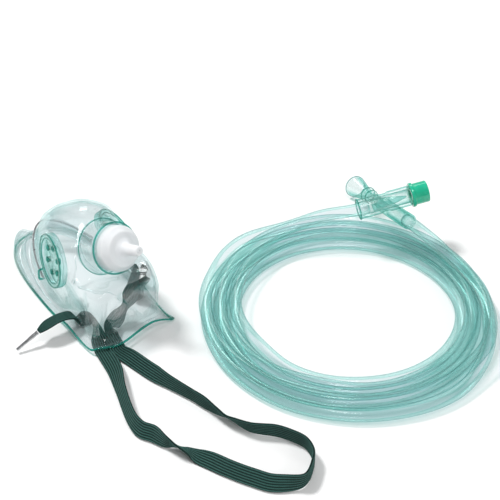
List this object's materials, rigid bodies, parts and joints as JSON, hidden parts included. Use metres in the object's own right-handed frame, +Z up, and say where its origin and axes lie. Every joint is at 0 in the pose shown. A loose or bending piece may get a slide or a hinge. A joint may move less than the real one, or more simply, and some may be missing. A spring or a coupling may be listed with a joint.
{
  "type": "oxygen face mask",
  "caption": "Child-size oxygen face mask with nose clip, vented cheeks, capped port, elastic head strap and a coil of clear supply hose with end connectors.",
  "frame": {"origin": "centre of the mask's bounding box, at the level of the table that its open face side rests on; strap and hose not counted", "axes": "+Z up out of the dome, +Y towards the nose end, -Y towards the chin; the hose coil lies on the +X, -Y side"},
  "size_m": [0.2064, 0.2116, 0.0498],
  "materials": {
    "clear_green_vinyl": "clear soft vinyl, pale green",
    "milky_polythene": "milky, satin",
    "bare_aluminium": "satin",
    "green_elastic": "ribbed knitted elastic, dark green",
    "clear_hose": "clear soft vinyl, green",
    "green_socket": "satin, solid green",
    "clear_connector": "clear vinyl"
  },
  "bodies": {
    "root": {"facepiece_shell": "clear_green_vinyl", "nose_clip": "bare_aluminium", "port_cap": "milky_polythene", "head_strap": "green_elastic", "strap_tip_near": "bare_aluminium", "strap_tip_far": "bare_aluminium", "hose_coil": "clear_hose", "hose_tail_a": "clear_hose", "hose_tail_b": "clear_hose", "connector_sleeve": "clear_connector", "connector_socket": "green_socket", "connector_funnel": "clear_connector"}
  },
  "joints": []
}
